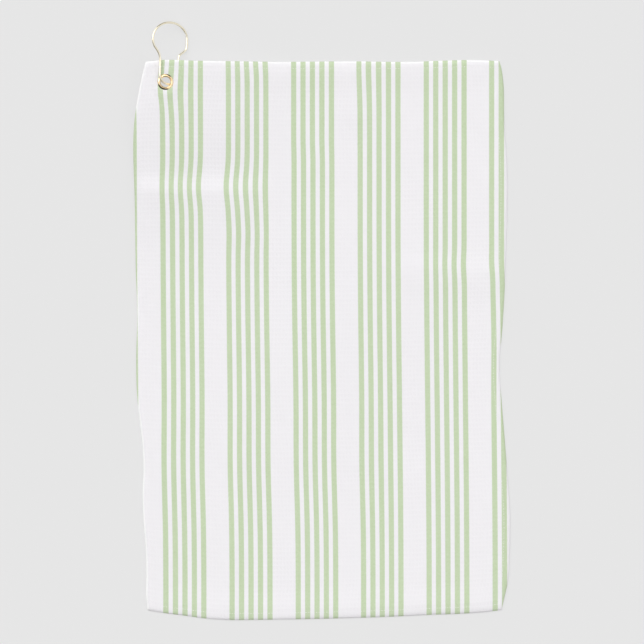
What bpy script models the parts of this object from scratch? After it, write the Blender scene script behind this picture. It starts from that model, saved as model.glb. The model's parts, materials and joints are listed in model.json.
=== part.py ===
"""Golf towel with a corner grommet and a one-piece spring wire hook.

The towel lies flat, printed face up (+Z), its length along Y and the hook at the +Y end.
The hook props the grommet corner up, so the cloth there rises in a low dome: the front
leg of the hook runs over the cloth and the back leg under it.
"""
import math

import bmesh
import bpy

MM = 0.001

# ---- cloth, millimetres ----
TOWEL_W = 406.4
TOWEL_L = 609.6
CLOTH_T = 1.1
HEM_W = 9.0
HEM_T = 0.8
HEM_INSET = 0.4
LAYER_GAP = 0.3
BOTTOM_Y = -326.7
HEM_RAMP = 8.0

# Where the side edges lie at each distance from the bottom edge, and the end edges at
# each distance from the left edge: the lengths of a limp towel's edges are never straight.
LEFT_EDGE = ((0.0, -192.0), (55.0, -195.5), (160.0, -198.0), (240.0, -201.0), (350.0, -204.4),
             (550.0, -203.5), (585.0, -200.0), (609.6, -194.0))
RIGHT_EDGE = ((0.0, 195.0), (25.0, 200.5), (100.0, 204.4), (200.0, 200.5), (300.0, 198.0),
              (400.0, 202.5), (500.0, 203.5), (585.0, 198.5), (609.6, 192.5))
BOTTOM_EDGE = ((0.0, 9.0), (60.0, 2.5), (120.0, 0.0), (290.0, 1.0), (406.4, 10.0))
TOP_EDGE = ((0.0, -1.5), (150.0, -2.5), (406.4, 0.0))

# ---- grommet corner, millimetres ----
GROMMET_FROM_LEFT = 29.6
GROMMET_FROM_TOP = 22.0
DOME_FLAT_R = 13.2
DOME_END_R = 150.0
SEAT_END_R = 25.0
HOLE_R = 5.4
BARREL_R = 5.95
FLANGE_R = 8.75
FLANGE_T = 0.62
WASHER_R = 8.5
WASHER_T = 0.42
LIP_R = 7.1
LIP_T = 0.42
SEAT_GAP = 0.12
CLOTH_HOLE_R = 6.3
LATHE_STEPS = 48

# ---- hook, millimetres, in its own plane: X across from its middle, Y towards the bow ----
WIRE_R = 1.1
HOOK_ROLL = math.radians(31.5)
HOOK_SWING = math.radians(-1.8)
HOOK_MID_X = 3.65
LEG_X = 11.35
BEND_Y = 7.55
BEND_RY = 9.7
FRONT_SIDE = ((-11.35, 16.0), (-11.4, 22.0), (-12.0, 27.0), (-13.3, 30.7), (-15.7, 34.4),
              (-18.8, 38.0))
GATE_SIDE = ((11.35, 16.0), (11.35, 24.5), (11.4, 27.0), (12.1, 29.5), (13.8, 31.2), (16.7, 33.4),
             (19.3, 35.6), (20.6, 37.5), (21.1, 40.0), (21.2, 45.0), (21.1, 50.0))
BOW_Y = 46.9
BOW_RX = 21.5
BOW_RY = 18.3
BOW_STEPS = 28
CATCH_Y0 = 50.0
CATCH_Y1 = 53.6
CATCH_R = 0.48
CATCH_SHIFT = 0.78
CATCH_GAP = 1.2
CATCH_STEP = 0.5
SPLIT_GAP = 0.8
FLOOR_GAP = 0.3

# ---- stitching, millimetres ----
STITCH_IN = 7.0
STITCH_W = 0.6
STITCH_H = 0.35
STITCH_GAP = 0.12
STITCH_END = 2.0

# Grid lines of the cloth, distances from the left and from the top edge.
LINES_U = (0.0, 5.0, 10.0, 14.6, 20.4, 29.6, 38.8, 44.0, 51.0, 62.0, 76.0, 92.0, 110.0, 130.0,
           152.0, 180.0, 215.0, 255.0, 295.0, 335.0, 368.0, 388.4, 392.4, 396.4, 401.4, 406.4)
LINES_V = (0.0, 5.0, 10.0, 12.8, 22.0, 31.2, 40.0, 50.0, 62.0, 76.0, 92.0, 110.0, 130.0, 152.0,
           178.0, 210.0, 250.0, 295.0, 345.0, 395.0, 445.0, 495.0, 545.0, 577.0, 591.6, 595.6,
           599.6, 604.6, 609.6)

# The hook's deepest point sits just above the table, which sets the height of its long axis.
AXIS_Z = (HOOK_MID_X + BOW_RX) * math.sin(HOOK_ROLL) + WIRE_R + FLOOR_GAP
STACK_UP = CLOTH_T / 2 + SEAT_GAP + FLANGE_T
STACK_DOWN = CLOTH_T / 2 + 2 * SEAT_GAP + WASHER_T + LIP_T
CLOTH_MID_Z = AXIS_Z - (STACK_UP - STACK_DOWN) / 2
DOME_H = CLOTH_MID_Z - CLOTH_T / 2 - HEM_T - LAYER_GAP


def smooth(t):
    """Ease from 0 to 1."""
    t = min(max(t, 0.0), 1.0)
    return t * t * (3 - 2 * t)


def edge_value(points, at):
    """Height of a smooth curve through (distance, value) points."""
    for (a0, b0), (a1, b1) in zip(points, points[1:]):
        if at <= a1:
            return b0 + (b1 - b0) * smooth((at - a0) / (a1 - a0))
    return points[-1][1]


def cloth_xy(u, v):
    """Place a point u from the left edge and v from the top edge of the flat towel."""
    up = TOWEL_L - v
    left = edge_value(LEFT_EDGE, up)
    right = edge_value(RIGHT_EDGE, up)
    low = BOTTOM_Y + edge_value(BOTTOM_EDGE, u)
    high = BOTTOM_Y + TOWEL_L + edge_value(TOP_EDGE, u)
    return left + (right - left) * u / TOWEL_W, low + (high - low) * up / TOWEL_L


GROMMET_X, GROMMET_Y = cloth_xy(GROMMET_FROM_LEFT, GROMMET_FROM_TOP)


def ground(x, y):
    """Height of the towel's lowest layer above the table."""
    r = math.hypot(x - GROMMET_X, y - GROMMET_Y)
    return DOME_H * (1 - smooth((r - DOME_FLAT_R) / (DOME_END_R - DOME_FLAT_R)))


def panel_lift(u, v):
    """How far the panel stands above the lowest layer, where a hem or the grommet lies."""
    x, y = cloth_xy(u, v)
    edge = min(u, TOWEL_W - u, v, TOWEL_L - v)
    r = math.hypot(x - GROMMET_X, y - GROMMET_Y)
    over_hem = 1 - smooth((edge - HEM_W - 1) / HEM_RAMP)
    over_seat = 1 - smooth((r - DOME_FLAT_R) / (SEAT_END_R - DOME_FLAT_R))
    return (HEM_T + LAYER_GAP) * max(over_hem, over_seat)


def panel_base(u, v):
    return ground(*cloth_xy(u, v)) + panel_lift(u, v)


def hem_base(u, v):
    return ground(*cloth_xy(u, v))


def stitch_base(u, v):
    return panel_base(u, v) + CLOTH_T + STITCH_GAP


def new_material(name, colour, rough, metal):
    mat = bpy.data.materials.new(name)
    mat.use_nodes = True
    shader = mat.node_tree.nodes["Principled BSDF"]
    shader.inputs["Base Color"].default_value = (*colour, 1.0)
    shader.inputs["Roughness"].default_value = rough
    shader.inputs["Metallic"].default_value = metal
    mat.diffuse_color = (*colour, 1.0)
    return mat


def add_object(name, data, mat):
    obj = bpy.data.objects.new(name, data)
    data.materials.append(mat)
    bpy.context.scene.collection.objects.link(obj)
    return obj


def sheet_solid(name, us, vs, base, thick, mat):
    """Close a gridded sheet of cloth between its lower face and one thickness above it."""
    bm = bmesh.new()
    layers = []
    for extra in (0.0, thick):
        rows = []
        for v in vs:
            row = []
            for u in us:
                x, y = cloth_xy(u, v)
                row.append(bm.verts.new((x * MM, y * MM, (base(u, v) + extra) * MM)))
            rows.append(row)
        layers.append(rows)
    low, high = layers
    for j in range(len(vs) - 1):
        for i in range(len(us) - 1):
            bm.faces.new((high[j][i], high[j + 1][i], high[j + 1][i + 1], high[j][i + 1]))
            bm.faces.new((low[j][i], low[j][i + 1], low[j + 1][i + 1], low[j + 1][i]))
    for i in range(len(us) - 1):
        bm.faces.new((high[0][i + 1], low[0][i + 1], low[0][i], high[0][i]))
        bm.faces.new((high[-1][i], low[-1][i], low[-1][i + 1], high[-1][i + 1]))
    for j in range(len(vs) - 1):
        bm.faces.new((high[j][0], low[j][0], low[j + 1][0], high[j + 1][0]))
        bm.faces.new((high[j + 1][-1], low[j + 1][-1], low[j][-1], high[j][-1]))
    bmesh.ops.recalc_face_normals(bm, faces=bm.faces)
    mesh = bpy.data.meshes.new(name)
    bm.to_mesh(mesh)
    bm.free()
    return add_object(name, mesh, mat)


def lines_between(lines, start, end):
    """The grid lines inside a span, with the span's own ends."""
    return [start] + [a for a in lines if start + 1 < a < end - 1] + [end]


def lathe_solid(name, profile, z, mat):
    """Turn a closed (radius, height) outline into a ring about the grommet's axis."""
    bm = bmesh.new()
    loop = [bm.verts.new((r * MM, 0.0, h * MM)) for r, h in profile]
    edges = [bm.edges.new((loop[k - 1], loop[k])) for k in range(len(loop))]
    bmesh.ops.spin(bm, geom=loop + edges, cent=(0, 0, 0), axis=(0, 0, 1),
                   angle=math.tau, steps=LATHE_STEPS, use_merge=True)
    bmesh.ops.recalc_face_normals(bm, faces=bm.faces)
    mesh = bpy.data.meshes.new(name)
    bm.to_mesh(mesh)
    bm.free()
    mesh.shade_smooth()
    obj = add_object(name, mesh, mat)
    obj.location = (GROMMET_X * MM, GROMMET_Y * MM, z * MM)
    return obj


def wire_solid(name, points, origin, mat):
    """Sweep the round wire along (x, y, radius) points in the hook's plane."""
    curve = bpy.data.curves.new(name, "CURVE")
    curve.dimensions = "3D"
    curve.bevel_depth = WIRE_R * MM
    curve.bevel_resolution = 3
    curve.use_fill_caps = True
    spline = curve.splines.new("POLY")
    spline.points.add(len(points) - 1)
    for slot, (x, y, radius) in zip(spline.points, points):
        slot.co = ((x - origin[0]) * MM, (y - origin[1]) * MM, 0.0, 1.0)
        slot.radius = radius / WIRE_R
    spline.use_smooth = True
    return add_object(name, curve, mat)


def smooth_path(points, steps):
    """Points along a smooth curve through the given ones, without the last."""
    path = []
    for k in range(len(points) - 1):
        p0, p1, p2 = points[max(k - 1, 0)], points[k], points[k + 1]
        p3 = points[min(k + 2, len(points) - 1)]
        for s in range(steps):
            t = s / steps
            path.append(tuple(
                b + (c - a) * t / 2 + (2 * a - 5 * b + 4 * c - d) * t * t / 2
                + (3 * b - a - 3 * c + d) * t ** 3 / 2
                for a, b, c, d in zip(p0, p1, p2, p3)))
    return path


def half_bend(side):
    """Half of the bend at the hook's foot, from beside its lowest point up to the leg."""
    path = []
    start = SPLIT_GAP / 2 / LEG_X
    for k in range(13):
        a = start + (math.pi / 2 - start) * k / 12
        path.append((side * LEG_X * math.sin(a), BEND_Y - BEND_RY * math.cos(a)))
    return path


def catch_point(y, shift):
    """A point of the catch, moved sideways from the bow's line."""
    x = BOW_RX * math.cos(math.asin((y - BOW_Y) / BOW_RY))
    return x + shift, y, CATCH_R


def hook_paths():
    """Paths of the fixed part of the hook and of its gate, as (x, y, radius) points."""
    foot = math.asin((FRONT_SIDE[-1][1] - BOW_Y) / BOW_RY)
    bow_end = math.asin((CATCH_Y1 + CATCH_GAP - BOW_Y) / BOW_RY)
    line = half_bend(-1) + smooth_path(FRONT_SIDE, 2)
    for k in range(BOW_STEPS + 1):
        a = math.pi - foot + (bow_end - math.pi + foot) * k / BOW_STEPS
        line.append((BOW_RX * math.cos(a), BOW_Y + BOW_RY * math.sin(a)))
    fixed = [(x, y, WIRE_R) for x, y in line]
    fixed.append(catch_point(CATCH_Y1, CATCH_SHIFT))
    fixed.append(catch_point(CATCH_Y0 + CATCH_STEP + CATCH_GAP, CATCH_SHIFT))
    line = half_bend(1) + smooth_path(GATE_SIDE, 2) + [GATE_SIDE[-1]]
    gate = [(x, y, WIRE_R) for x, y in line]
    gate.append(catch_point(CATCH_Y0 + CATCH_STEP, -CATCH_SHIFT))
    gate.append(catch_point(CATCH_Y1 - CATCH_STEP, -CATCH_SHIFT))
    return fixed, gate


def build():
    for old in list(bpy.data.objects):
        bpy.data.objects.remove(old, do_unlink=True)

    cloth = new_material("cloth_white", (0.86, 0.85, 0.87), 0.9, 0.0)
    hem = new_material("hem_white", (0.84, 0.83, 0.85), 0.9, 0.0)
    thread = new_material("thread_white", (0.9, 0.9, 0.9), 0.7, 0.0)
    brass = new_material("grommet_brass", (0.83, 0.62, 0.25), 0.22, 1.0)
    washer = new_material("washer_brass", (0.78, 0.58, 0.24), 0.3, 1.0)
    wire = new_material("hook_gold", (0.86, 0.7, 0.38), 0.2, 1.0)
    gate_mat = new_material("gate_gold", (0.86, 0.7, 0.38), 0.2, 1.0)

    panel = sheet_solid("cloth_panel", LINES_U, LINES_V, panel_base, CLOTH_T, cloth)
    bpy.ops.mesh.primitive_cylinder_add(vertices=LATHE_STEPS, radius=CLOTH_HOLE_R * MM,
                                        depth=DOME_END_R * MM)
    cutter = bpy.context.object
    cutter.name = "grommet_hole_cutter"
    cutter.location = (GROMMET_X * MM, GROMMET_Y * MM, CLOTH_MID_Z * MM)
    cutter.hide_render = True
    cutter.display_type = "WIRE"
    cut = panel.modifiers.new("grommet_hole", "BOOLEAN")
    cut.operation = "DIFFERENCE"
    cut.solver = "EXACT"
    cut.object = cutter

    inner = TOWEL_W - HEM_INSET
    far = TOWEL_L - HEM_INSET
    across = lines_between(LINES_U, HEM_INSET, inner)
    along = lines_between(LINES_V, HEM_W + LAYER_GAP, TOWEL_L - HEM_W - LAYER_GAP)
    spans = {
        "top": (across, (HEM_INSET, 5.0, HEM_W)),
        "bottom": (across, (TOWEL_L - HEM_W, TOWEL_L - 5.0, far)),
        "left": ((HEM_INSET, 5.0, HEM_W), along),
        "right": ((TOWEL_W - HEM_W, TOWEL_W - 5.0, inner), along),
    }
    for side, (us, vs) in spans.items():
        sheet_solid("hem_" + side, us, vs, hem_base, HEM_T, hem)

    near = (STITCH_IN - STITCH_W / 2, STITCH_IN + STITCH_W / 2)
    across = lines_between(LINES_U, STITCH_END, TOWEL_W - STITCH_END)
    along = lines_between(LINES_V, near[1] + LAYER_GAP, TOWEL_L - near[1] - LAYER_GAP)
    runs = {
        "top": (across, near),
        "bottom": (across, (TOWEL_L - near[1], TOWEL_L - near[0])),
        "left": (near, along),
        "right": ((TOWEL_W - near[1], TOWEL_W - near[0]), along),
    }
    for side, (us, vs) in runs.items():
        sheet_solid("hem_stitch_" + side, us, vs, stitch_base, STITCH_H, thread)

    half = CLOTH_T / 2
    seat = half + SEAT_GAP
    under = -seat - WASHER_T - SEAT_GAP
    lathe_solid("grommet_eyelet", (
        (HOLE_R, seat), (HOLE_R + 0.18, seat + FLANGE_T * 0.8), (HOLE_R + 0.7, seat + FLANGE_T),
        (HOLE_R + 1.7, seat + FLANGE_T), (FLANGE_R - 0.4, seat + FLANGE_T * 0.7),
        (FLANGE_R, seat + FLANGE_T * 0.25), (FLANGE_R - 0.15, seat), (BARREL_R, seat),
        (BARREL_R, under), (LIP_R, under), (LIP_R - 0.15, under - LIP_T * 0.7),
        (LIP_R - 0.6, under - LIP_T), (HOLE_R + 0.5, under - LIP_T), (HOLE_R, under - LIP_T * 0.4),
    ), CLOTH_MID_Z, brass)
    lathe_solid("grommet_washer", (
        (BARREL_R + 0.2, -seat), (BARREL_R + 0.2, -seat - WASHER_T),
        (WASHER_R - 0.2, -seat - WASHER_T), (WASHER_R, -seat - WASHER_T * 0.5), (WASHER_R, -seat),
    ), CLOTH_MID_Z, washer)

    fixed, gate = hook_paths()
    hook = wire_solid("hook_wire", fixed, (-HOOK_MID_X, 0.0), wire)
    hook.rotation_euler = (0.0, HOOK_ROLL, HOOK_SWING)
    hook.location = (GROMMET_X * MM, GROMMET_Y * MM, AXIS_Z * MM)
    pivot_y = BEND_Y - BEND_RY
    arm = wire_solid("hook_gate", gate, (0.0, pivot_y), gate_mat)
    arm.parent = hook
    arm.location = (HOOK_MID_X * MM, pivot_y * MM, 0.0)


build()
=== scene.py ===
"""Golf towel lying flat, printed face up, with a wire hook through its corner grommet.

Lengths inside the builders are millimetres; every mesh is written in metres.
"""
import json
import math

import bpy
import numpy as np
from mathutils import Matrix, Vector


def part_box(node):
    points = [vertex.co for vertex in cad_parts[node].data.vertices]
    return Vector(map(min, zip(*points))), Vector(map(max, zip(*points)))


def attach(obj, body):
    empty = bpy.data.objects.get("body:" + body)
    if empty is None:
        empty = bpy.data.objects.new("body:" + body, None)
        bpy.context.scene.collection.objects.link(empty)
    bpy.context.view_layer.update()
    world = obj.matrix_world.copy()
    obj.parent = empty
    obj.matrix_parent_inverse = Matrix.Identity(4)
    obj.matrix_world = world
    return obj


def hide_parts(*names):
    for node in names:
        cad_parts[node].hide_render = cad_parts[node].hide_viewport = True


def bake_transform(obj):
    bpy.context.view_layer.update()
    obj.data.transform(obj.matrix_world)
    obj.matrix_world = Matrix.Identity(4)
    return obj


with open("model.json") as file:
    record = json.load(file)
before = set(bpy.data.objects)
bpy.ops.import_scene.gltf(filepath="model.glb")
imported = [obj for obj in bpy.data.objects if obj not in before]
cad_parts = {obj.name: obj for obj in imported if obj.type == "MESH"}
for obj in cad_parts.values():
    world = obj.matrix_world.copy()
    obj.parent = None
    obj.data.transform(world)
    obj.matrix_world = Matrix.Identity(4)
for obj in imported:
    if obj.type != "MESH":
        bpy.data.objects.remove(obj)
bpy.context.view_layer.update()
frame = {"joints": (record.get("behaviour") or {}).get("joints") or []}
joints = {j["name"]: j for j in frame["joints"]}

MM = 0.001
TOWEL_W = 406.4
TOWEL_L = 609.6

# ---- where the CAD puts things, millimetres ----
GROMMET = np.array(joints["hook_swing"]["pos_m"]) / MM
HOOK_ALONG = Vector(joints["hook_roll"]["axis"])
BOTTOM_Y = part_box("cloth_panel")[0].y / MM
WASHER_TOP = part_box("grommet_washer")[1].z / MM

# ---- the towel's layers, millimetres ----
CLOTH_T = 1.45
PRESSED_T = 1.1
SEAT_GAP = 0.12
CLOTH_MID_Z = WASHER_TOP + SEAT_GAP + PRESSED_T / 2
HEM_T = 0.8
LAYER_GAP = 0.3
HEM_W = 9.0
HEM_RAMP = 26.0
STITCH_IN = 7.0

# ---- the dome at the hooked corner, millimetres from the grommet's axis ----
DOME_H = CLOTH_MID_Z - PRESSED_T / 2 - HEM_T - LAYER_GAP
DOME_FLAT_R = 13.2
DOME_END_R = 150.0
SEAT_END_R = 25.0
PRESSED_R = 9.0
PRESSED_FADE = 3.0


def smooth(t):
    """Ease from 0 to 1, on arrays."""
    t = np.clip(t, 0.0, 1.0)
    return t * t * (3 - 2 * t)


def bump(t):
    """A bell curve that is 1 at 0."""
    return np.exp(-t * t)


def curve_through(points, at):
    """A smooth curve through (distance, value) points, on arrays."""
    xs = np.array([p[0] for p in points], float)
    ys = np.array([p[1] for p in points], float)
    slopes = np.gradient(ys, xs)
    at = np.clip(np.asarray(at, float), xs[0], xs[-1])
    k = np.clip(np.searchsorted(xs, at, side="right") - 1, 0, len(xs) - 2)
    h = xs[k + 1] - xs[k]
    t = (at - xs[k]) / h
    return ((1 + 2 * t) * (1 - t) ** 2 * ys[k] + t * (1 - t) ** 2 * h * slopes[k]
            + t * t * (3 - 2 * t) * ys[k + 1] + t * t * (t - 1) * h * slopes[k + 1])


# ---- outline of the limp cloth, millimetres ----
# sides: (distance from the bottom edge, x); ends: (distance from the left edge, how far it is moved up)
LEFT_EDGE = ((0, -190.5), (12, -192.0), (40, -192.0), (68, -192.8), (100, -195.1), (131, -196.1),
             (157, -195.0), (183, -196.2), (223, -200.6), (250, -202.6), (296, -202.7), (318, -201.9),
             (348, -202.2), (372, -203.3), (410, -204.0), (450, -204.6), (551, -203.8), (575, -200.0),
             (594, -196.2), (604, -193.9), (609.6, -192.4))
RIGHT_EDGE = ((0, 196.4), (12, 199.0), (30, 203.0), (63, 205.2), (108, 205.8), (150, 202.8),
              (194, 199.4), (216, 197.6), (238, 195.9), (258, 194.6), (280, 194.5), (314, 197.2),
              (347, 199.2), (402, 201.4), (490, 202.6), (545, 199.2),
              (590, 197.8), (604, 195.6), (609.6, 193.8))
BOTTOM_EDGE = ((0, 8.8), (14, 6.6), (40, 3.4), (66, 0.0), (92, -1.6), (125, -1.5), (200, -0.3),
               (280, 2.0), (330, 4.2), (360, 5.2), (385, 6.8), (406.4, 9.2))
TOP_EDGE = ((0, -1.6), (12, -0.1), (60, -0.3), (150, -0.8), (250, -0.4), (290, -0.9),
            (390, 0.8), (406.4, 0.0))


def cloth_xy(u, v):
    """Place points u from the left edge and v from the top edge of the flat towel."""
    up = TOWEL_L - v
    left = curve_through(LEFT_EDGE, up)
    right = curve_through(RIGHT_EDGE, up)
    low = BOTTOM_Y + curve_through(BOTTOM_EDGE, u)
    high = BOTTOM_Y + TOWEL_L + curve_through(TOP_EDGE, u)
    return left + (right - left) * u / TOWEL_W, low + (high - low) * up / TOWEL_L


def grommet_r(x, y):
    """Distance from the grommet's axis."""
    return np.hypot(x - GROMMET[0], y - GROMMET[1])


def ground(x, y):
    """Height of the towel's lowest layer: a low dome where the hook props the corner up."""
    r = grommet_r(x, y)
    return DOME_H * (1 - smooth((r - DOME_FLAT_R) / (DOME_END_R - DOME_FLAT_R)))


def ridge(x, y, start, end, height, front, back, fade):
    """A soft fold along a line: front is its width on the left of the line, back on its right."""
    start, end = np.array(start, float), np.array(end, float)
    length = np.hypot(*(end - start))
    way = (end - start) / length
    along = (x - start[0]) * way[0] + (y - start[1]) * way[1]
    across = (x - start[0]) * -way[1] + (y - start[1]) * way[0]
    width = np.where(across > 0, front, back)
    ends = smooth((along + fade) / fade) * smooth((length + fade - along) / fade)
    return height * bump(across / width) * ends


# folds: start, end, height, width in front, width behind, fade past the ends
FOLDS = (
    ((-212, 139), (-92, 138), 4.2, 14.0, 46.0, 46),
    ((104, 55), (214, 49), 1.7, 13.0, 26.0, 50),
    ((-86, -92), (-99, -300), 1.5, 9.0, 7.0, 45),
    ((-140, 100), (-60, 84), 0.25, 12.0, 14.0, 30),
    ((40, -150), (150, -190), 0.35, 18.0, 18.0, 60),
    ((120, 190), (190, 150), 0.35, 16.0, 16.0, 40),
    ((20, 282), (38, 225), 1.3, 16.0, 22.0, 30),
)
SWELL = 0.35
CALM_R = 45.0
CALM_FADE = 50.0


def wrinkles(x, y):
    """Soft folds of the lying cloth, never below the table, and none near the grommet."""
    z = 0.0
    for fold in FOLDS:
        z = z + ridge(x, y, *fold)
    broad = np.sin(x / 47.0 + 0.6) * np.cos(y / 71.0 - 0.4) + np.sin(x / 83.0 - y / 58.0 + 1.1)
    z = z + SWELL * (broad + 2.0)
    return z * smooth((grommet_r(x, y) - CALM_R) / CALM_FADE)


def panel_lift(u, v, x, y):
    """How far the panel is raised over the hems and the grommet's seat, and how far in from an edge."""
    edge = np.minimum(np.minimum(u, TOWEL_W - u), np.minimum(v, TOWEL_L - v))
    over_hem = 1 - smooth((edge - HEM_W - 1) / HEM_RAMP)
    over_seat = 1 - smooth((grommet_r(x, y) - DOME_FLAT_R) / (SEAT_END_R - DOME_FLAT_R))
    return (HEM_T + LAYER_GAP) * np.maximum(over_hem, over_seat), edge


def pressed_share(r):
    """1 where the grommet clamps the cloth, 0 where the cloth is free."""
    return 1 - smooth((r - PRESSED_R) / PRESSED_FADE)


def panel_top(u, v, x, y):
    """Height of the cloth's upper face, without its weave."""
    lift, edge = panel_lift(u, v, x, y)
    r = grommet_r(x, y)
    thick = CLOTH_T + (PRESSED_T - CLOTH_T) * pressed_share(r)
    pucker = 0.25 * bump((r - 12.0) / 2.5)
    groove = -0.06 * bump((edge - STITCH_IN) / 1.3) * smooth((r - 11) / 3)
    fold = -1.15 * (1 - smooth(edge / 3.0)) ** 1.5
    soft = wrinkles(x, y) * smooth((edge + 4) / 16.0)
    return ground(x, y) + lift + thick + pucker + groove + fold + soft


# ---- helpers ----
def mesh_object(name, verts, faces, mat):
    """A smooth-shaded mesh from millimetre points."""
    mesh = bpy.data.meshes.new(name)
    mesh.from_pydata((np.asarray(verts, float) * MM).tolist(), [], [list(map(int, f)) for f in faces])
    mesh.shade_smooth()
    mesh.materials.append(mat)
    obj = bpy.data.objects.new(name, mesh)
    bpy.context.scene.collection.objects.link(obj)
    return obj


def add_uv(obj, name, coords):
    """A UV map in metres, from one millimetre pair per vertex."""
    layer = obj.data.uv_layers.new(name=name)
    loops = np.zeros(len(obj.data.loops), np.int32)
    obj.data.loops.foreach_get("vertex_index", loops)
    layer.data.foreach_set("uv", (np.asarray(coords, float)[loops] * MM).astype(np.float32).ravel())


def lathe(name, profile, z, mat, steps=96):
    """Turn a closed (radius, height) outline about the grommet's axis."""
    n = len(profile)
    verts, faces = [], []
    for s in range(steps):
        a = math.tau * s / steps
        for r, h in profile:
            verts.append((GROMMET[0] + r * math.cos(a), GROMMET[1] + r * math.sin(a), z + h))
    for s in range(steps):
        t = (s + 1) % steps
        for k in range(n):
            m = (k + 1) % n
            faces.append((s * n + k, s * n + m, t * n + m, t * n + k))
    return mesh_object(name, verts, faces, mat)


def rounded(points, radius_steps=5):
    """Round a closed polyline's corners; each point is (radius, height, rounding)."""
    out = []
    n = len(points)
    for k in range(n):
        p = np.array(points[k][:2], float)
        size = points[k][2]
        a = np.array(points[k - 1][:2], float) - p
        b = np.array(points[(k + 1) % n][:2], float) - p
        la, lb = np.hypot(*a), np.hypot(*b)
        size = min(size, 0.45 * la, 0.45 * lb)
        if size <= 0:
            out.append(tuple(p))
            continue
        start, end = p + a / la * size, p + b / lb * size
        for s in range(radius_steps + 1):
            t = s / radius_steps
            out.append(tuple((1 - t) ** 2 * start + 2 * t * (1 - t) * p + t * t * end))
    return out


ROUND_END_ANGLES = (25, 50, 70, 84)
TUBE_SIDES = 20
SHARP_ANGLE = math.radians(50)


def tube(name, centres, radii, mat, round_end=False):
    """A closed round tube along world points, from a flat end to a flat or a rounded one."""
    sides = TUBE_SIDES
    pts = [Vector(c) for c in centres]
    rads = list(radii)
    if round_end:
        last, r = pts[-1], rads[-1]
        d = (last - pts[-2]).normalized()
        for a in ROUND_END_ANGLES:
            pts.append(last + d * r * math.sin(math.radians(a)))
            rads.append(r * math.cos(math.radians(a)))
    n = len(pts)
    tangents = []
    for k in range(n):
        tangents.append((pts[min(k + 1, n - 1)] - pts[max(k - 1, 0)]).normalized())
    normal = tangents[0].orthogonal().normalized()
    verts, faces = [], []
    for k in range(n):
        if k:
            turn = tangents[k - 1].rotation_difference(tangents[k])
            normal = turn @ normal
        normal = (normal - tangents[k] * normal.dot(tangents[k])).normalized()
        side = tangents[k].cross(normal)
        for s in range(sides):
            a = math.tau * s / sides
            verts.append(tuple(pts[k] + (normal * math.cos(a) + side * math.sin(a)) * rads[k]))
    for k in range(n - 1):
        for s in range(sides):
            t = (s + 1) % sides
            faces.append((k * sides + s, k * sides + t, (k + 1) * sides + t, (k + 1) * sides + s))
    faces.append(tuple(range(sides - 1, -1, -1)))
    faces.append(tuple((n - 1) * sides + s for s in range(sides)))
    obj = mesh_object(name, verts, faces, mat)
    obj.data.set_sharp_from_angle(angle=SHARP_ANGLE)
    return obj


# ---- materials ----
class Nodes:
    """Short calls for building a node tree."""

    def __init__(self, name):
        self.mat = bpy.data.materials.new(name)
        self.mat.use_nodes = True
        self.tree = self.mat.node_tree
        self.shader = self.tree.nodes["Principled BSDF"]

    def new(self, kind, **values):
        """A node, with its own settings."""
        node = self.tree.nodes.new(kind)
        for key, value in values.items():
            setattr(node, key, value)
        return node

    def put(self, socket, value):
        """Link a socket to another, or give it a value; three numbers become an opaque colour."""
        if isinstance(value, tuple) and len(value) == 3 and socket.type == "RGBA":
            value = (*value, 1)
        if isinstance(value, bpy.types.NodeSocket):
            self.tree.links.new(value, socket)
        else:
            socket.default_value = value

    def math(self, operation, a, b=0.0, c=0.0, clamp=False):
        node = self.new("ShaderNodeMath", operation=operation, use_clamp=clamp)
        for socket, value in zip(node.inputs, (a, b, c)):
            self.put(socket, value)
        return node.outputs[0]

    def ramp(self, value, low, high, out_low=0.0, out_high=1.0):
        """Ease from out_low to out_high as the value goes from low to high."""
        node = self.new("ShaderNodeMapRange", interpolation_type="SMOOTHSTEP")
        for socket, v in zip(node.inputs, (value, low, high, out_low, out_high)):
            self.put(socket, v)
        return node.outputs[0]

    def mix(self, factor, a, b):
        """Blend two colours."""
        node = self.new("ShaderNodeMix", data_type="RGBA")
        self.put(node.inputs[0], factor)
        self.put(node.inputs[6], a)
        self.put(node.inputs[7], b)
        return node.outputs[2]

    def noise(self, vector, scale, detail):
        node = self.new("ShaderNodeTexNoise")
        self.put(node.inputs["Vector"], vector)
        self.put(node.inputs["Scale"], scale)
        self.put(node.inputs["Detail"], detail)
        self.put(node.inputs["Roughness"], 0.55)
        return node.outputs["Fac"]

    def bump(self, height, strength, distance):
        node = self.new("ShaderNodeBump")
        self.put(node.inputs["Height"], height)
        self.put(node.inputs["Strength"], strength)
        self.put(node.inputs["Distance"], distance)
        return node.outputs["Normal"]

    def set(self, **sockets):
        """Fill the shader's own sockets, named with underscores for spaces."""
        for name, value in sockets.items():
            self.put(self.shader.inputs[name.replace("_", " ")], value)


# The print: groups of five stripes, repeated across the cloth, millimetres.
GROUP_PITCH = 72.36
STRIPE_PITCH = 10.34
STRIPE_W = 5.7
STRIPE_COUNT = 5
FIRST_STRIPE_X = -174.3
STRIPE_BLUR = 0.035
INK_BLEED = 0.0006

# The weave: waffle cells and their threads, millimetres.
CELL_U = 3.9
CELL_V = 5.2
THREAD_U = 0.65
THREAD_V = 0.74
# width of the painted highlight along the left and top rims
RIM_HIGHLIGHT_W = 2.0

WHITE = (0.884, 0.868, 0.890)
# the darker white, used for random tone and for painted shade in the weave's pits and thread valleys
WHITE_TONE_AND_PIT_SHADE = (WHITE[0] * 0.8, WHITE[1] * 0.8, WHITE[2] * 0.82)
# painted highlight: a paler white along the left and top rims, where the rolled edges catch the light
WHITE_RIM_HIGHLIGHT = (0.96, 0.955, 0.96)
GREEN = (0.532, 0.650, 0.411)
GREEN_PALE = (GREEN[0] * 1.06, GREEN[1] * 1.03, GREEN[2] * 1.1)


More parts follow.
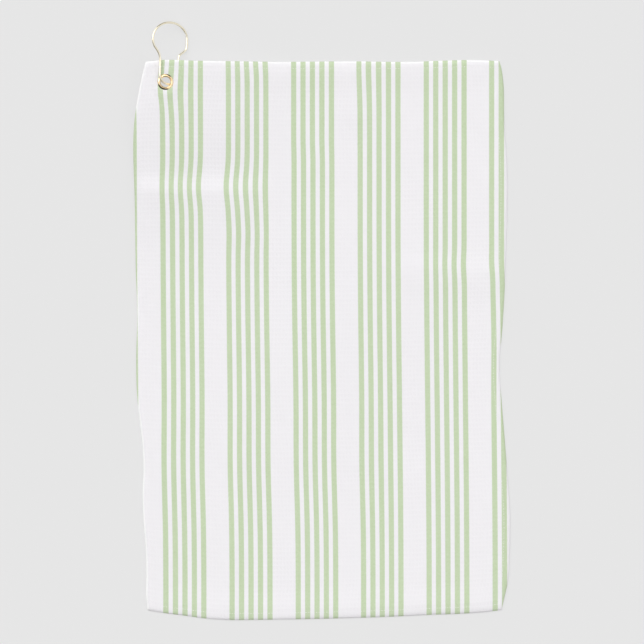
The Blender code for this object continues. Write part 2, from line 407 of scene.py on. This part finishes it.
def ripple(n, kind, along, pitch):
    """A sine or cosine with its pitch in millimetres, along one coordinate in metres."""
    return n.math(kind, n.math("MULTIPLY", along, math.tau / (pitch * MM)))


def split(n, vector):
    """The first two numbers of a vector."""
    parts = n.new("ShaderNodeSeparateXYZ")
    n.put(parts.inputs[0], vector)
    return parts.outputs[0], parts.outputs[1]


def weave_height(n, flat):
    """Waffle cells with sunken middles and, inside them, the threads: the sum, and both shares."""
    u, v = split(n, flat)
    cell_u = n.math("MULTIPLY", ripple(n, "COSINE", u, CELL_U), 0.6)
    wall = n.math("MAXIMUM", cell_u, ripple(n, "COSINE", v, CELL_V))
    threads = n.math("MULTIPLY", ripple(n, "SINE", u, THREAD_U), ripple(n, "SINE", v, THREAD_V))
    height = n.math("ADD", n.math("MULTIPLY", wall, 0.4), n.math("MULTIPLY", threads, 0.2))
    fuzz = n.noise(flat, 2600.0, 2.0)
    return n.math("ADD", height, n.math("MULTIPLY", fuzz, 0.35)), wall, threads


def ink_share(n, flat, wall):
    """1 where a stripe is printed, thinner in the pits of the weave and patchy on a small scale."""
    stripe_x = split(n, n.new("ShaderNodeUVMap", uv_map="print").outputs[0])[0]
    bleed = n.math("SUBTRACT", n.noise(flat, 1100.0, 2.0), 0.5)
    x = n.math("ADD", stripe_x, n.math("MULTIPLY", bleed, INK_BLEED))
    start = (FIRST_STRIPE_X - STRIPE_PITCH / 2) * MM
    group = n.math("FRACT", n.math("DIVIDE", n.math("SUBTRACT", x, start), GROUP_PITCH * MM))
    cells = n.math("MULTIPLY", group, GROUP_PITCH / STRIPE_PITCH)
    off = n.math("ABSOLUTE", n.math("SUBTRACT", n.math("FRACT", cells), 0.5))
    half = STRIPE_W / STRIPE_PITCH / 2
    in_stripe = n.ramp(off, half - STRIPE_BLUR, half + STRIPE_BLUR, 1.0, 0.0)
    in_group = n.math("LESS_THAN", cells, float(STRIPE_COUNT))
    ink = n.math("MULTIPLY", in_stripe, in_group)
    patchy = n.ramp(n.noise(flat, 420.0, 3.0), 0.3, 0.7, 0.9, 1.0)
    return n.math("MULTIPLY", ink, n.math("MULTIPLY", patchy, n.ramp(wall, -1.0, 0.2, 0.93, 1.0)))


def cloth_material(name, printed):
    """Waffle microfibre with a painted highlight along its left and top rims, painted shade in the weave's
    hollows, and the stripes on its printed face.
    """
    n = Nodes(name)
    flat = n.new("ShaderNodeUVMap", uv_map="flat").outputs[0]
    height, wall, threads = weave_height(n, flat)
    cloud = n.noise(flat, 14.0, 3.0)
    grain = n.noise(flat, 900.0, 2.0)
    shade = n.math("ADD", n.math("MULTIPLY", cloud, 0.035), n.math("MULTIPLY", grain, 0.05))
    # painted shade: the pits of the waffle cells and the valleys between threads are coloured darker; cloud
    # and grain are random tone
    shade = n.math("ADD", shade, n.math("MULTIPLY", wall, -0.04))
    shade = n.math("ADD", shade, n.math("MULTIPLY", threads, -0.09))
    shade = n.math("ADD", shade, 0.04, clamp=True)
    colour = n.mix(shade, WHITE, WHITE_TONE_AND_PIT_SHADE)
    # painted highlight along the left and top edges, standing in for the light caught by the rounded rims
    painted_rim_highlight = n.ramp(n.math("MINIMUM", *split(n, flat)), RIM_HIGHLIGHT_W * 0.5 * MM, RIM_HIGHLIGHT_W * MM, 1.0, 0.0)
    colour = n.mix(painted_rim_highlight, colour, WHITE_RIM_HIGHLIGHT)
    if printed:
        green = n.mix(n.noise(flat, 60.0, 2.0), GREEN, GREEN_PALE)
        colour = n.mix(ink_share(n, flat, wall), colour, green)
    n.set(Base_Color=colour, Roughness=n.ramp(grain, 0.3, 0.7, 0.82, 0.95))
    n.set(Sheen_Weight=0.18, Sheen_Roughness=0.45, Specular_IOR_Level=0.2)
    n.set(Normal=n.bump(height, 0.55, 0.00033))
    return n.mat


def thread_material(name):
    """White sewing thread with its twist."""
    n = Nodes(name)
    bands = n.new("ShaderNodeTexWave", wave_type="BANDS", bands_direction="DIAGONAL")
    n.put(bands.inputs["Vector"], n.new("ShaderNodeTexCoord").outputs["Object"])
    n.put(bands.inputs["Scale"], 900.0)
    n.put(bands.inputs["Distortion"], 1.5)
    twist = bands.outputs["Fac"]
    n.set(Base_Color=n.mix(twist, (0.84, 0.83, 0.85), (0.9, 0.89, 0.91)))
    n.set(Roughness=n.ramp(twist, 0.0, 1.0, 0.62, 0.45), Sheen_Weight=0.25)
    n.set(Normal=n.bump(twist, 0.5, 0.0001))
    return n.mat


def brass_material(name, deep, bright, rough):
    """Brass or gold plate: blotches from deep to bright, small specks of tarnish, fine scratches."""
    n = Nodes(name)
    place = n.new("ShaderNodeTexCoord").outputs["Object"]
    blotch = n.noise(place, 260.0, 4.0)
    speck = n.noise(place, 2400.0, 3.0)
    stretch = n.new("ShaderNodeMapping")
    n.put(stretch.inputs["Vector"], place)
    n.put(stretch.inputs["Scale"], (9000.0, 500.0, 2500.0))
    lines = n.noise(stretch.outputs[0], 1.0, 2.0)
    tarnish = (deep[0] * 0.55, deep[1] * 0.5, deep[2] * 0.4)
    colour = n.mix(n.ramp(blotch, 0.3, 0.7), deep, bright)
    colour = n.mix(n.ramp(speck, 0.62, 0.8, 0.0, 0.35), colour, tarnish)
    n.set(Base_Color=colour, Metallic=1.0, Roughness=n.ramp(speck, 0.2, 0.8, rough, rough + 0.1))
    n.set(Normal=n.bump(n.math("ADD", lines, n.math("MULTIPLY", speck, 0.5)), 0.12, 0.00008))
    return n.mat


def floor_material(name):
    """Pale paper that glows a little, so that shadows on it stay faint."""
    n = Nodes(name)
    tone = n.noise(n.new("ShaderNodeTexCoord").outputs["Object"], 3.0, 2.0)
    n.set(Base_Color=n.mix(tone, (0.240, 0.240, 0.240), (0.246, 0.246, 0.246)), Roughness=0.9)
    n.set(Specular_IOR_Level=0.0, Emission_Color=(1.0, 1.0, 1.0), Emission_Strength=0.542)
    return n.mat


cloth_mat = cloth_material("towel_cloth_printed", True)
hem_mat = cloth_material("towel_cloth_plain", False)
thread_mat = thread_material("sewing_thread")
brass_mat = brass_material("grommet_polished_brass", (0.82, 0.60, 0.32), (0.95, 0.80, 0.56), 0.06)
washer_mat = brass_material("washer_brass_dull", (0.66, 0.44, 0.15), (0.86, 0.65, 0.30), 0.24)
wire_mat = brass_material("hook_plated_wire", (0.94, 0.86, 0.66), (0.985, 0.93, 0.77), 0.24)


# ---- cloth sheet ----
# spots where the cloth is pushed sideways: amount, x, width across, y, width along
PUSHES = (
    (-2.3, -132, 42, 146, 20), (-1.4, -90, 30, 146, 22), (-3.2, -176, 22, 248, 24),
    (-1.5, 45, 16, 277, 32), (-1.2, -75, 25, 285, 14), (1.6, -177, 8, 236, 18),
    (0.9, 187, 14, -20, 45), (-0.9, 155, 30, 60, 14), (0.8, -85, 26, 93, 18),
)
PIT_DEPTH = 0.17
CROSS_RISE = 0.04
UNDER_RISE = 0.2
LEAST_T = 0.55
EDGE_LOW = 0.08
EDGE_BULGE = 0.35
HOLE_CUT_R = 6.9
HOLE_NEAR_R = 14.0
HOLE_R = 6.3


def print_shift(x, y):
    """How far the stripes wander sideways, where the cloth is pushed along by its folds."""
    shift = 3.0 * smooth((120 - y) / 420.0) + 1.6 * bump((x + 30) / 90.0) * smooth((60 - y) / 300)
    shift = shift + 0.4 * bump((x + 155) / 30.0) - smooth((x + 150) / 130.0)
    shift = shift - 1.1 * bump((y + 160) / 55.0) * smooth((90 - x) / 60.0)
    shift = shift - 0.6 * bump((x + 10) / 35.0) * smooth((y - 170) / 30.0)
    shift = shift - 0.9 * bump((x - 187) / 14.0) * smooth((y - 40) / 30.0)
    for amount, spot_x, width_x, spot_y, width_y in PUSHES:
        shift = shift + amount * bump((x - spot_x) / width_x) * bump((y - spot_y) / width_y)
    return shift


def weave_relief(cols, rows, edge, r):
    """Waffle cells are two grid steps wide, so pits sit where both counts are odd."""
    i, j = np.meshgrid(np.arange(cols), np.arange(rows))
    fade = smooth((edge - 1.5) / 3.0) * smooth((r - 10.0) / 4.0)
    pit = (i % 2 == 1) & (j % 2 == 1)
    cross = (i % 2 == 0) & (j % 2 == 0)
    return (CROSS_RISE * cross - PIT_DEPTH * pit) * fade, UNDER_RISE * cross * fade


def cloth_heights(u, v, x, y):
    """The panel's upper and lower faces, with the weave."""
    r = grommet_r(x, y)
    lift, edge = panel_lift(u, v, x, y)
    over, under = weave_relief(u.shape[1], u.shape[0], edge, r)
    tuck = 1 - smooth(edge / 2.0)
    bottom = ground(x, y) + lift * (1 - tuck) + EDGE_LOW * tuck + under
    bottom = bottom + wrinkles(x, y) * smooth((edge - 2) / 16.0)
    least = LEAST_T + 0.5 * pressed_share(r)
    return np.maximum(panel_top(u, v, x, y) + over, bottom + least), bottom


def border_of(quads):
    """Edges that only one quad uses, each in that quad's direction."""
    directed = {}
    for q in quads.tolist():
        for k in range(4):
            directed[(q[k], q[(k + 1) % 4])] = True
    return [e for e in directed if (e[1], e[0]) not in directed]


def build_cloth():
    """The panel: two faces on one grid, joined round the outside and round the grommet's hole."""
    cols = int(round(TOWEL_W / (CELL_U / 2))) + 1
    rows = int(round(TOWEL_L / (CELL_V / 2))) + 1
    u, v = np.meshgrid(np.linspace(0, TOWEL_W, cols), np.linspace(0, TOWEL_L, rows))
    x, y = cloth_xy(u, v)
    top, bottom = cloth_heights(u, v, x, y)

    index = np.arange(rows * cols).reshape(rows, cols)
    quads = np.stack([index[:-1, :-1], index[1:, :-1], index[1:, 1:], index[:-1, 1:]], -1).reshape(-1, 4)
    middle_r = grommet_r(x.ravel()[quads].mean(1), y.ravel()[quads].mean(1))
    quads = quads[middle_r > HOLE_CUT_R]
    border = border_of(quads)
    ring = sorted({k for e in border for k in e})
    hole = {k for k in ring if grommet_r(x.flat[k], y.flat[k]) < HOLE_NEAR_R}
    for k in hole:
        pull = HOLE_R / grommet_r(x.flat[k], y.flat[k])
        x.flat[k] = GROMMET[0] + (x.flat[k] - GROMMET[0]) * pull
        y.flat[k] = GROMMET[1] + (y.flat[k] - GROMMET[1]) * pull

    used = np.zeros(rows * cols, bool)
    used[quads.ravel()] = True
    remap = np.cumsum(used) - 1
    count = int(used.sum())
    tops = np.stack([x.ravel(), y.ravel(), top.ravel()], 1)[used]
    lows = np.stack([x.ravel(), y.ravel(), bottom.ravel()], 1)[used]
    quads = remap[quads]
    faces = [tuple(q) for q in quads.tolist()]
    faces += [tuple(count + k for k in reversed(q)) for q in quads.tolist()]

    # a third row of points, halfway down the thickness, rounds the outer edge
    ring_of = {}
    mids = []
    for k in ring:
        p = (tops[remap[k]] + lows[remap[k]]) / 2
        if k not in hole:
            j, i = divmod(k, cols)
            out = np.array([float(i == cols - 1) - (i == 0), float(j == 0) - (j == rows - 1)])
            p[:2] += out / max(np.hypot(*out), 1.0) * EDGE_BULGE
        ring_of[k] = 2 * count + len(mids)
        mids.append(p)
    for a, b in border:
        ta, tb = int(remap[a]), int(remap[b])
        faces.append((tb, ta, ring_of[a], ring_of[b]))
        faces.append((ring_of[b], ring_of[a], count + ta, count + tb))
    sheet = mesh_object("towel_cloth_sheet", np.concatenate([tops, lows, np.array(mids)]), faces, cloth_mat)

    flat = np.stack([u.ravel(), v.ravel()], 1)
    printed = np.stack([x.ravel() - print_shift(x, y).ravel(), y.ravel()], 1)
    for name, coords in (("flat", flat), ("print", printed)):
        add_uv(sheet, name, np.concatenate([coords[used], coords[used], coords[ring]]))
    sheet.data.materials.append(hem_mat)
    material_ids = np.zeros(len(faces), np.int32)
    material_ids[len(quads):2 * len(quads)] = 1
    sheet.data.polygons.foreach_set("material_index", material_ids)
    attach(sheet, "towel")
    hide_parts("cloth_panel")
    return sheet


def along_side(side, inward, along):
    """Flat places (u, v) at distances in from one edge of the towel and along it."""
    places = {
        "top": (along, inward),
        "bottom": (along, TOWEL_L - inward),
        "left": (inward, along),
        "right": (TOWEL_W - inward, along),
    }
    return places[side]


# ---- hems under the edges: how far in from the edge, and heights over the ground ----
HEM_OUT = 1.7
HEM_IN = 9.4
HEM_LOW = 0.24
HEM_TOP = 0.92
HEM_ACROSS = (HEM_OUT, HEM_OUT + 0.6, 3.4, 5.2, 6.4, STITCH_IN, 7.6, 8.6, HEM_IN - 0.4, HEM_IN)
HEM_RISE = (0.5, 0.9, 1.0, 1.0, 0.93, 0.82, 0.93, 1.0, 0.92, 0.55)
HEM_LEAST_T = 0.2
PUCKER = 0.06
PUCKER_PITCH = 5.2


def build_hem(side):
    """The turned-under layer along one edge, a little sunk along its stitching."""
    if side in ("top", "bottom"):
        along = np.linspace(HEM_OUT, TOWEL_W - HEM_OUT, 157)
    else:
        along = np.linspace(HEM_IN + 0.4, TOWEL_L - HEM_IN - 0.4, 228)
    d, a = np.meshgrid(np.array(HEM_ACROSS), along)
    u, v = along_side(side, d, a)
    x, y = cloth_xy(u, v)
    base = ground(x, y)
    rise = (HEM_TOP - HEM_LOW) * np.array(HEM_RISE)[None, :]
    high = base + HEM_LOW + rise
    low = base + HEM_TOP - rise + PUCKER * np.sin(math.tau * a / PUCKER_PITCH) * bump(d - STITCH_IN)
    low = np.minimum(low, high - HEM_LEAST_T)

    rows, cols = x.shape
    index = np.arange(rows * cols).reshape(rows, cols)
    quads = np.stack([index[:-1, :-1], index[:-1, 1:], index[1:, 1:], index[1:, :-1]], -1).reshape(-1, 4)
    p = np.stack([x.ravel(), y.ravel()], 1)[quads]
    first, last = p[:, 1] - p[:, 0], p[:, 2] - p[:, 0]
    if (first[:, 0] * last[:, 1] - first[:, 1] * last[:, 0]).sum() < 0:
        quads = quads[:, ::-1]
    n = rows * cols
    faces = [tuple(q) for q in quads.tolist()] + [tuple(n + k for k in reversed(q)) for q in quads.tolist()]
    faces += [(b, a, n + a, n + b) for a, b in sorted(border_of(quads))]
    verts = np.concatenate([np.stack([x.ravel(), y.ravel(), z.ravel()], 1) for z in (high, low)])
    hem = mesh_object("towel_hem_" + side, verts, faces, hem_mat)
    uv = np.stack([u.ravel(), v.ravel()], 1)
    add_uv(hem, "flat", np.concatenate([uv, uv]))
    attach(hem, "towel")
    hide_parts("hem_" + side)
    return hem


# ---- stitching ----
STITCH_PITCH = 3.0
STITCH_LEN = 2.5
STITCH_ENDS = {"top": 2.5, "bottom": 2.5, "left": STITCH_IN + 1.5, "right": STITCH_IN + 1.5}
STITCH_STEPS = 7
THREAD_R = 0.17
THREAD_WIDE = 1.15
THREAD_FLAT = 0.85
THREAD_SIDES = 6


def build_stitches(side):
    """One run of separate stitches, on the face and on the back, each dipping in at its ends."""
    length = TOWEL_W if side in ("top", "bottom") else TOWEL_L
    count = int((length - 2 * STITCH_ENDS[side]) / STITCH_PITCH)
    steps = np.linspace(0, 1, STITCH_STEPS)
    starts = STITCH_ENDS[side] + (np.arange(count) + 0.25) * STITCH_PITCH
    a = starts[:, None] + steps[None, :] * STITCH_LEN
    u, v = along_side(side, np.full_like(a, STITCH_IN), a)
    x, y = cloth_xy(u, v)
    dip = (2 * steps - 1) ** 4
    up = panel_top(u, v, x, y) - 0.06 - 0.2 * dip[None, :]
    down = ground(x, y) + HEM_LOW + 0.02 + 0.3 * dip[None, :]
    radii = THREAD_R * (0.75 + 0.25 * (1 - dip))
    upright = np.array([0.0, 0.0, THREAD_FLAT])
    verts, faces = [], []
    for z in (up, down):
        for k in range(count):
            centres = np.stack([x[k], y[k], z[k]], 1)
            way = centres[-1] - centres[0]
            sideways = np.array([-way[1], way[0], 0.0]) / np.hypot(way[0], way[1]) * THREAD_WIDE
            base = len(verts)
            for centre, radius in zip(centres, radii):
                for t in np.linspace(0, math.tau, THREAD_SIDES, endpoint=False):
                    verts.append(centre + (sideways * math.cos(t) + upright * math.sin(t)) * radius)
            for s in range(STITCH_STEPS - 1):
                here, there = base + s * THREAD_SIDES, base + (s + 1) * THREAD_SIDES
                for q in range(THREAD_SIDES):
                    r = (q + 1) % THREAD_SIDES
                    faces.append((here + q, here + r, there + r, there + q))
            end = base + (STITCH_STEPS - 1) * THREAD_SIDES
            faces.append(tuple(base + q for q in range(THREAD_SIDES - 1, -1, -1)))
            faces.append(tuple(end + q for q in range(THREAD_SIDES)))
    run = mesh_object("hem_stitching_" + side, verts, faces, thread_mat)
    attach(run, "towel")
    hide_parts("hem_stitch_" + side)
    return run


# ---- grommet, millimetres, heights from the middle of the cloth ----
EYELET_OUT_R = 8.75
EYELET_IN_R = 5.42
CREST_R = 6.75
CREST_RISE = 0.94
OUTER_DROP = 0.9
INNER_DROP = 1.2
CREST_STEPS = 12
WASHER_T = 0.42
SEAT_Z = PRESSED_T / 2 + SEAT_GAP
CURL_Z = -SEAT_Z - WASHER_T - SEAT_GAP
# closed outlines: radius, height, rounding
BARREL = (
    (EYELET_IN_R, -0.3, 0.0), (EYELET_IN_R, CURL_Z + 0.1, 0.3), (5.7, CURL_Z - 0.3, 0.3),
    (6.4, CURL_Z - 0.42, 0.3), (7.1, CURL_Z - 0.2, 0.15), (7.05, CURL_Z - 0.02, 0.1),
    (6.5, CURL_Z, 0.1), (5.9, CURL_Z + 0.1, 0.15), (5.9, SEAT_Z - 0.2, 0.2),
    (6.2, SEAT_Z + 0.12, 0.1), (8.2, SEAT_Z + 0.16, 0.2), (8.62, SEAT_Z - 0.02, 0.05),
)
WASHER = (
    (6.2, -SEAT_Z, 0.08), (8.3, -SEAT_Z + 0.02, 0.15), (8.5, -SEAT_Z - 0.12, 0.12),
    (8.3, -SEAT_Z - 0.34, 0.2), (7.3, -SEAT_Z - WASHER_T, 0.3), (6.2, -SEAT_Z - 0.40, 0.1),
)


def build_grommet():
    """The eyelet, a crest that falls away on both sides over a curled barrel, and its washer."""
    profile = []
    for k in range(CREST_STEPS, -CREST_STEPS - 1, -1):
        t = abs(k) / CREST_STEPS
        rim_r, drop = (EYELET_OUT_R, OUTER_DROP) if k > 0 else (EYELET_IN_R, INNER_DROP)
        profile.append((CREST_R + (rim_r - CREST_R) * t, SEAT_Z + CREST_RISE - drop * t ** 1.5))
    profile += rounded(BARREL)
    profile.reverse()
    eyelet = lathe("grommet_eyelet_brass", profile, CLOTH_MID_Z, brass_mat)
    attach(eyelet, "grommet")
    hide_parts("grommet_eyelet")
    washer = lathe("grommet_washer_brass", rounded(WASHER), CLOTH_MID_Z, washer_mat)
    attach(washer, "grommet")
    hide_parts("grommet_washer")


# ---- hook: x across and y along its own plane, millimetres from the grommet ----
WIRE_R = 1.2
HOOK_MID_X = 4.05
HOOK_ROLL = math.radians(31.5)
LEG_X = 11.35
JOIN_Y = 16.0
BEND_Y = 7.55
BEND_RY = 9.7
BEND_STEPS = 48
FRONT_SIDE = ((-LEG_X, JOIN_Y), (-11.4, 22.0), (-12.0, 27.0), (-13.3, 30.7), (-15.7, 34.4),
              (-18.8, 38.0))
GATE_SIDE = ((LEG_X, JOIN_Y), (11.35, 24.5), (11.4, 27.0), (12.1, 29.5), (13.8, 31.2), (16.7, 33.4),
             (19.3, 35.6), (20.6, 37.5), (21.1, 40.0), (21.2, 45.0), (21.1, 49.8))
SIDE_STEPS = 6
BOW_Y = 46.9
BOW_RX = 21.5
BOW_RY = 18.3
BOW_STEPS = 84
CATCH_Y0 = 50.0
CATCH_Y1 = 53.6
# flat tongues that lie side by side in the catch: y, how far aside of the bow's line, radius
FRONT_TONGUE = ((CATCH_Y1 + 0.8, 0.3, 0.9), (CATCH_Y1 + 0.3, 0.6, 0.66), (CATCH_Y1 - 0.3, 0.74, 0.5),
                (CATCH_Y0 + 2.6, 0.74, 0.48), (CATCH_Y0 + 1.7, 0.74, 0.46))
GATE_TONGUE = ((CATCH_Y0 + 0.25, -0.35, 0.85), (CATCH_Y0 + 0.5, -0.66, 0.56), (CATCH_Y0 + 1.1, -0.72, 0.48),
               (CATCH_Y0 + 2.2, -0.76, 0.48), (CATCH_Y1 - 0.7, -0.76, 0.46))


def hook_matrix():
    """From the hook's own plane, X across and Y along, to the world in millimetres."""
    along = HOOK_ALONG.normalized()
    turn = Matrix.Rotation(math.atan2(-along.x, along.y), 4, "Z")
    tilt = Matrix.Rotation(HOOK_ROLL, 4, "Y")
    return Matrix.Translation(Vector(GROMMET)) @ turn @ tilt


def place_hook(points):
    """World places of points in the hook's own plane."""
    to_world = hook_matrix()
    return [to_world @ Vector((x, y, 0.0)) for x, y in points]


def bow_angle(y):
    """The angle on the bow's right half at a height."""
    return math.asin((y - BOW_Y) / BOW_RY)


def bow_point(angle):
    return HOOK_MID_X + BOW_RX * math.cos(angle), BOW_Y + BOW_RY * math.sin(angle)


def smooth_path(points, steps):
    """Points along a smooth curve through the given ones, without the last."""
    path = []
    for k in range(len(points) - 1):
        p0, p1, p2 = points[max(k - 1, 0)], points[k], points[k + 1]
        p3 = points[min(k + 2, len(points) - 1)]
        for s in range(steps):
            t = s / steps
            path.append(tuple(
                b + (c - a) * t / 2 + (2 * a - 5 * b + 4 * c - d) * t * t / 2
                + (3 * b - a - 3 * c + d) * t ** 3 / 2
                for a, b, c, d in zip(p0, p1, p2, p3)))
    return path


def wire_with_tongue(name, path, tongue):
    """A wire along a path, ending in a thinner tongue beside the bow's line."""
    centres = path + [(bow_point(bow_angle(y))[0] + aside, y) for y, aside, radius in tongue]
    radii = [WIRE_R] * len(path) + [radius for y, aside, radius in tongue]
    return tube(name, place_hook(centres), radii, wire_mat, round_end=True)


def build_hook():
    """Three wires: front leg with the bow, gate, and the bend that joins them under the grommet."""
    side = [(HOOK_MID_X + x, y) for x, y in smooth_path(FRONT_SIDE, SIDE_STEPS)]
    start, end = math.pi - bow_angle(FRONT_SIDE[-1][1]), bow_angle(CATCH_Y1 + 1.2)
    bow = [bow_point(start + (end - start) * k / BOW_STEPS) for k in range(BOW_STEPS + 1)]
    front = wire_with_tongue("hook_front_wire", side + bow, FRONT_TONGUE)
    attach(front, "hook")
    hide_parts("hook_wire")

    gate = [(HOOK_MID_X + x, y) for x, y in smooth_path(GATE_SIDE, SIDE_STEPS) + [GATE_SIDE[-1]]]
    arm = wire_with_tongue("hook_gate_wire", gate, GATE_TONGUE)
    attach(arm, "gate")
    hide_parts("hook_gate")

    bend = [(HOOK_MID_X - LEG_X, JOIN_Y + (BEND_Y - JOIN_Y) * k / 4) for k in range(4)]
    for k in range(BEND_STEPS + 1):
        a = -math.pi / 2 + math.pi * k / BEND_STEPS
        bend.append((HOOK_MID_X + LEG_X * math.sin(a), BEND_Y - BEND_RY * math.cos(a)))
    bend += [(HOOK_MID_X + LEG_X, BEND_Y + (JOIN_Y - BEND_Y) * k / 4) for k in range(1, 5)]
    loop = tube("hook_bend_wire", place_hook(bend), [WIRE_R] * len(bend), wire_mat)
    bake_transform(loop)


# ---- studio, metres ----
FLOOR_SIZE = 12.0
FLOOR_GAP = 0.0003
# colour of the surroundings by height, from the horizon at 0 to straight above at 1
SKY = ((0.0, (0.6, 0.59, 0.58)), (0.25, (0.7, 0.7, 0.7)), (0.5, (0.85, 0.85, 0.85)),
       (0.7, (1.0, 1.0, 1.0)), (1.0, (1.0, 1.0, 1.0)))
SKY_STRENGTH = 1.028
# dark parts of the surroundings: direction, and the cosines at which each starts and is full
DARK_ZONES = (((-0.45, -0.8, 0.43), 0.62, 0.84), ((0.15, 0.9, 0.36), 0.80, 0.93))
DARK_LEVEL = 0.02
SUN_SIDE = (-0.42, 0.62, 0.95)
SUN_ENERGY = 1.42
SUN_SPREAD = math.radians(70)
CAMERA_PLACE = (0.0, -0.0024, 4.5)
FRAME_W = 0.7052
SENSOR_W = 36.0


def build_floor():
    bpy.ops.mesh.primitive_plane_add(size=FLOOR_SIZE, location=(0, 0, -FLOOR_GAP))
    floor = bpy.context.object
    floor.name = "studio_floor"
    floor.data.materials.append(floor_material("floor_paper"))


def build_surroundings(scene):
    """A bright room, darker toward the horizon, with the dark zones that the brass reflects."""
    world = bpy.data.worlds.new("soft_studio")
    scene.world = world
    world.use_nodes = True
    tree = world.node_tree
    back = tree.nodes["Background"]
    coord = tree.nodes.new("ShaderNodeTexCoord")
    sep = tree.nodes.new("ShaderNodeSeparateXYZ")
    tree.links.new(coord.outputs["Generated"], sep.inputs[0])
    ramp = tree.nodes.new("ShaderNodeValToRGB")
    stops = ramp.color_ramp.elements
    for position, colour in SKY[1:-1]:
        stops.new(position)
    for stop, (position, colour) in zip(stops, SKY):
        stop.color = (*colour, 1)
    tree.links.new(sep.outputs[2], ramp.inputs[0])
    light = ramp.outputs[0]
    for direction, edge, full in DARK_ZONES:
        toward_dark = tree.nodes.new("ShaderNodeVectorMath")
        toward_dark.operation = "DOT_PRODUCT"
        tree.links.new(coord.outputs["Generated"], toward_dark.inputs[0])
        toward_dark.inputs[1].default_value = Vector(direction).normalized()
        shade = tree.nodes.new("ShaderNodeMapRange")
        shade.interpolation_type = "SMOOTHSTEP"
        tree.links.new(toward_dark.outputs["Value"], shade.inputs["Value"])
        limits = {"From Min": edge, "From Max": full, "To Min": 1.0, "To Max": DARK_LEVEL}
        for name, value in limits.items():
            shade.inputs[name].default_value = value
        scaled = tree.nodes.new("ShaderNodeVectorMath")
        scaled.operation = "SCALE"
        tree.links.new(light, scaled.inputs[0])
        tree.links.new(shade.outputs[0], scaled.inputs["Scale"])
        light = scaled.outputs[0]
    tree.links.new(light, back.inputs["Color"])
    back.inputs["Strength"].default_value = SKY_STRENGTH


def build_sun(scene):
    """One broad light from the upper left."""
    data = bpy.data.lights.new("key_light", "SUN")
    data.energy = SUN_ENERGY
    data.angle = SUN_SPREAD
    sun = bpy.data.objects.new("key_light", data)
    scene.collection.objects.link(sun)
    sun.rotation_mode = "QUATERNION"
    sun.rotation_quaternion = Vector(SUN_SIDE).normalized().to_track_quat("Z", "Y")


def build_camera(scene):
    """A long lens straight above, whose picture is FRAME_W wide at the table."""
    data = bpy.data.cameras.new("camera")
    data.sensor_width = SENSOR_W
    data.lens = SENSOR_W * CAMERA_PLACE[2] / FRAME_W
    data.clip_end = 50.0
    camera = bpy.data.objects.new("camera", data)
    scene.collection.objects.link(camera)
    camera.location = CAMERA_PLACE
    scene.camera = camera


def build_studio():
    scene = bpy.context.scene
    build_floor()
    build_surroundings(scene)
    build_sun(scene)
    build_camera(scene)
    scene.view_settings.view_transform = "Standard"


cloth = build_cloth()
hems = [build_hem(side) for side in ("top", "bottom", "left", "right")]
runs = [build_stitches(side) for side in ("top", "bottom", "left", "right")]
build_grommet()
build_hook()
build_studio()
